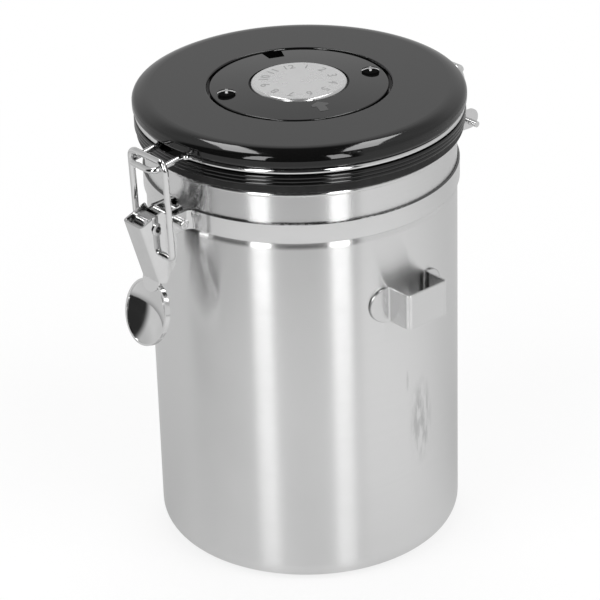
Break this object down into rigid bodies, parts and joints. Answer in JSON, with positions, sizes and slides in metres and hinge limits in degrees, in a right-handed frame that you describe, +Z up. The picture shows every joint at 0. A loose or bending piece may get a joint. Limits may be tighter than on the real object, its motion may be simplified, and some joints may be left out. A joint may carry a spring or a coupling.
{
  "type": "food canister",
  "caption": "Steel food canister with a wire-clamped black lid, toggle latch, rear wire hinge, month dial, one-way gas valve under a cover plate, and a scoop holder on its side.",
  "frame": {"origin": "middle of the flat base, on the surface that the canister stands on", "axes": "+Z up along the canister's axis, -Y towards the latch, +Y towards the hinge, +X towards the scoop holder"},
  "size_m": [0.1347, 0.1653, 0.1876],
  "materials": {
    "body_steel": "fine brushed round the body, satin",
    "band_steel": "bright rolled sheet",
    "bright_steel": "polished",
    "lid_plastic": "glossy moulded black",
    "plate_plastic": "glossy moulded black",
    "seal_rubber": "matt silicone",
    "screw_black": "black oxide",
    "dial_silver": "silver satin with a bright edge",
    "valve_plastic": "plain moulded",
    "filter_felt": "pressed felt"
  },
  "bodies": {
    "canister": {"canister_body": "body_steel", "neck_band": "band_steel", "clamp_rivet": "bright_steel", "latch_bracket": "bright_steel", "lever_rivet": "bright_steel", "rear_hinge_bracket": "bright_steel", "scoop_holder": "band_steel"},
    "rear_link": {"hinge_link": "bright_steel"},
    "lid": {"lid_cap": "lid_plastic", "lid_base": "lid_plastic", "lid_gasket": "seal_rubber", "lid_wire_frame": "bright_steel", "cover_plate": "plate_plastic", "cover_screws": "screw_black", "valve_body": "valve_plastic", "valve_washer_ring": "seal_rubber", "valve_cage": "valve_plastic", "valve_filter": "filter_felt"},
    "dial": {"date_dial": "dial_silver", "dial_clip": "valve_plastic"},
    "valve_flap": {"valve_disc": "seal_rubber"},
    "lever": {"latch_lever": "bright_steel"},
    "bail": {"latch_bail": "bright_steel"}
  },
  "joints": [
    {"name": "rear_link_swing", "type": "hinge", "parent": "canister", "child": "rear_link", "pos_m": [0, 0.0776, 0.15], "axis": [-1, 0, 0], "range_deg": [0, 14.25]},
    {"name": "lid_hinge", "type": "hinge", "parent": "rear_link", "child": "lid", "pos_m": [0, 0.0759, 0.1719], "axis": [-1, 0, 0], "range_deg": [0, 95]},
    {"name": "latch_lever_hinge", "type": "hinge", "parent": "canister", "child": "lever", "pos_m": [0, -0.0754, 0.1518], "axis": [-1, 0, 0], "range_deg": [0, 120]},
    {"name": "latch_bail_hinge", "type": "hinge", "parent": "lever", "child": "bail", "pos_m": [0, -0.0724, 0.1398], "axis": [-1, 0, 0], "range_deg": [-150, 0]},
    {"name": "dial_turn", "type": "hinge", "parent": "lid", "child": "dial", "pos_m": [0, 0, 0.186], "axis": [0, 0, 1], "continuous": true},
    {"name": "valve_lift", "type": "slide", "parent": "lid", "child": "valve_flap", "axis": [0, 0, 1], "range_m": [0, 0.0008]}
  ],
  "couplings": [
    {"joint": "rear_link_swing", "follows": "lid_hinge", "ratio": 0.15},
    {"joint": "latch_bail_hinge", "follows": "latch_lever_hinge", "ratio": -1.25}
  ]
}
